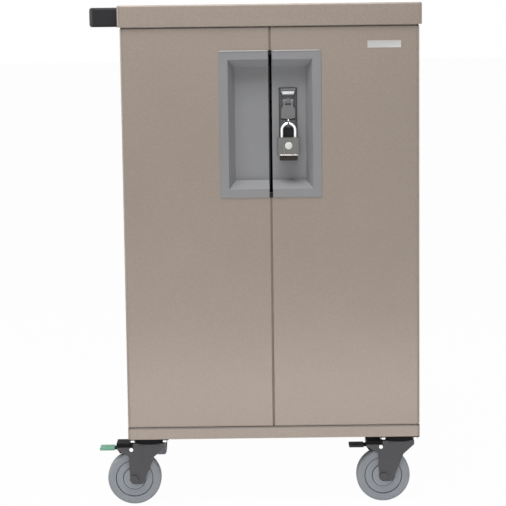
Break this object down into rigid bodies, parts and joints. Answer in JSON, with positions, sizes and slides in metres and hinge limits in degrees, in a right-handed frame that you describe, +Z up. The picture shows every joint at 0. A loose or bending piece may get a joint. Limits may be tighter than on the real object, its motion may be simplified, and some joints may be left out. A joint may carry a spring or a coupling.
{
  "type": "charging cart",
  "caption": "Steel charging cabinet on swivel casters, with paired front doors, a recessed swing handle and padlock, a side push handle, upright device slots inside and a rear power bay.",
  "frame": {"origin": "on the floor, under the middle of the whole cart's length and depth", "axes": "+Z up, -Y out of the front doors, +X to the right as seen from the front"},
  "size_m": [0.756, 0.62, 1.162],
  "materials": {
    "body_paint": "satin metallic taupe powder coat",
    "inner_paint": "matt powder coat",
    "divider_coat": "matt plastic-dipped sheet",
    "strip_metal": "brushed",
    "black_plastic": "fine grain",
    "zinc_steel": "zinc plated",
    "pocket_plastic": "fine grain",
    "housing_plastic": "fine grain",
    "handle_metal": "satin grey",
    "badge_metal": "satin, bare",
    "shackle_chrome": "polished",
    "padlock_metal": "satin",
    "guard_plastic": "smooth",
    "plate_black": "black coat",
    "fork_paint": "dark grey coat",
    "wheel_plastic": "moulded",
    "wheel_rubber": "non-marking grey",
    "pedal_black": "black coat",
    "green_plastic": "moulded"
  },
  "bodies": {
    "cabinet": {"base_pan": "body_paint", "floor_panel": "inner_paint", "left_side_panel": "body_paint", "right_side_panel": "body_paint", "top_lid": "body_paint", "header_rails": "inner_paint", "mid_shelf": "inner_paint", "shelf_brackets": "inner_paint", "partition_panels": "inner_paint", "slot_dividers": "divider_coat", "power_strips": "strip_metal", "strip_sockets": "black_plastic", "power_inlet": "black_plastic", "push_handle": "black_plastic", "push_handle_bolts": "zinc_steel", "caster_plates": "plate_black", "caster_bolts": "zinc_steel"},
    "left_door": {"left_door": "body_paint", "left_door_pivots": "plate_black", "left_pocket": "pocket_plastic", "seam_strip": "inner_paint"},
    "right_door": {"right_door": "body_paint", "right_door_pivots": "plate_black", "right_pocket": "pocket_plastic", "handle_housing": "housing_plastic", "rod_guides": "housing_plastic", "badge_plate": "badge_metal"},
    "handle_hub": {"handle_hub": "handle_metal", "latch_cam": "zinc_steel"},
    "handle_lever": {"handle_lever": "handle_metal"},
    "upper_rod": {"upper_latch_rod": "zinc_steel"},
    "lower_rod": {"lower_latch_rod": "zinc_steel"},
    "shackle": {"padlock_shackle": "shackle_chrome"},
    "padlock": {"padlock_body": "padlock_metal", "padlock_guard": "guard_plastic"},
    "rear_door": {"rear_door": "body_paint", "rear_door_pivots": "plate_black", "rear_lock_barrel": "shackle_chrome"},
    "rear_lock": {"rear_lock_cam": "zinc_steel"},
    "power_switch": {"power_switch": "black_plastic"},
    "front_left_caster": {"front_left_fork": "fork_paint", "front_left_axle": "fork_paint", "front_left_pedal_pin": "zinc_steel"},
    "front_left_wheel": {"front_left_wheel_core": "wheel_plastic", "front_left_tyre": "wheel_rubber"},
    "front_left_brake": {"front_left_pedal": "pedal_black", "front_left_pedal_cap": "green_plastic"},
    "front_right_caster": {"front_right_fork": "fork_paint", "front_right_axle": "fork_paint", "front_right_pedal_pin": "zinc_steel"},
    "front_right_wheel": {"front_right_wheel_core": "wheel_plastic", "front_right_tyre": "wheel_rubber"},
    "front_right_brake": {"front_right_pedal": "pedal_black", "front_right_pedal_cap": "black_plastic"},
    "rear_left_caster": {"rear_left_fork": "fork_paint", "rear_left_axle": "fork_paint"},
    "rear_left_wheel": {"rear_left_wheel_core": "wheel_plastic", "rear_left_tyre": "wheel_rubber"},
    "rear_right_caster": {"rear_right_fork": "fork_paint", "rear_right_axle": "fork_paint"},
    "rear_right_wheel": {"rear_right_wheel_core": "wheel_plastic", "rear_right_tyre": "wheel_rubber"}
  },
  "joints": [
    {"name": "left_door_hinge", "type": "hinge", "parent": "cabinet", "child": "left_door", "pos_m": [-0.2905, -0.296, 0.65], "axis": [0, 0, -1], "range_deg": [0, 110]},
    {"name": "right_door_hinge", "type": "hinge", "parent": "cabinet", "child": "right_door", "pos_m": [0.3585, -0.296, 0.65], "axis": [0, 0, 1], "range_deg": [0, 110]},
    {"name": "rear_door_hinge", "type": "hinge", "parent": "cabinet", "child": "rear_door", "pos_m": [0.349, 0.296, 0.65], "axis": [0, 0, -1], "range_deg": [0, 110]},
    {"name": "handle_turn", "type": "hinge", "parent": "right_door", "child": "handle_hub", "pos_m": [0.0745, -0.282, 0.942], "axis": [0, 1, 0], "range_deg": [0, 90]},
    {"name": "lever_lift", "type": "hinge", "parent": "handle_hub", "child": "handle_lever", "pos_m": [0.0745, -0.2866, 0.942], "axis": [-1, 0, 0], "range_deg": [0, 25]},
    {"name": "upper_rod_slide", "type": "slide", "parent": "right_door", "child": "upper_rod", "axis": [0, 0, -1], "range_m": [0, 0.014]},
    {"name": "lower_rod_slide", "type": "slide", "parent": "right_door", "child": "lower_rod", "axis": [0, 0, 1], "range_m": [0, 0.014]},
    {"name": "padlock_swing", "type": "hinge", "parent": "right_door", "child": "shackle", "pos_m": [0.0745, -0.298, 0.892], "axis": [-1, 0, 0], "range_deg": [0, 60]},
    {"name": "padlock_open", "type": "slide", "parent": "shackle", "child": "padlock", "axis": [0, 0, -1], "range_m": [0, 0.009]},
    {"name": "rear_lock_turn", "type": "hinge", "parent": "rear_door", "child": "rear_lock", "pos_m": [-0.255, 0.29, 0.658], "axis": [0, 1, 0], "range_deg": [0, 90]},
    {"name": "switch_rock", "type": "hinge", "parent": "cabinet", "child": "power_switch", "pos_m": [-0.3035, 0.245, 0.354], "axis": [0, 1, 0], "range_deg": [0, 13]},
    {"name": "front_left_swivel", "type": "hinge", "parent": "cabinet", "child": "front_left_caster", "pos_m": [-0.258, -0.255, 0.145], "axis": [0, 0, 1], "continuous": true},
    {"name": "front_left_roll", "type": "hinge", "parent": "front_left_caster", "child": "front_left_wheel", "pos_m": [-0.294, -0.255, 0.0625], "axis": [0, 1, 0], "continuous": true},
    {"name": "front_left_brake_press", "type": "hinge", "parent": "front_left_caster", "child": "front_left_brake", "pos_m": [-0.3, -0.255, 0.1325], "axis": [0, -1, 0], "range_deg": [0, 8]},
    {"name": "front_right_swivel", "type": "hinge", "parent": "cabinet", "child": "front_right_caster", "pos_m": [0.326, -0.255, 0.145], "axis": [0, 0, 1], "continuous": true},
    {"name": "front_right_roll", "type": "hinge", "parent": "front_right_caster", "child": "front_right_wheel", "pos_m": [0.29, -0.255, 0.0625], "axis": [0, 1, 0], "continuous": true},
    {"name": "front_right_brake_press", "type": "hinge", "parent": "front_right_caster", "child": "front_right_brake", "pos_m": [0.284, -0.255, 0.1325], "axis": [0, -1, 0], "range_deg": [0, 8]},
    {"name": "rear_left_swivel", "type": "hinge", "parent": "cabinet", "child": "rear_left_caster", "pos_m": [-0.258, 0.255, 0.145], "axis": [0, 0, 1], "continuous": true},
    {"name": "rear_left_roll", "type": "hinge", "parent": "rear_left_caster", "child": "rear_left_wheel", "pos_m": [-0.258, 0.219, 0.0625], "axis": [1, 0, 0], "continuous": true},
    {"name": "rear_right_swivel", "type": "hinge", "parent": "cabinet", "child": "rear_right_caster", "pos_m": [0.326, 0.255, 0.145], "axis": [0, 0, 1], "continuous": true},
    {"name": "rear_right_roll", "type": "hinge", "parent": "rear_right_caster", "child": "rear_right_wheel", "pos_m": [0.326, 0.219, 0.0625], "axis": [1, 0, 0], "continuous": true}
  ],
  "couplings": [
    {"joint": "upper_rod_slide", "follows": "handle_turn", "m_per_rad": 0.0089127},
    {"joint": "lower_rod_slide", "follows": "handle_turn", "m_per_rad": 0.0089127}
  ]
}
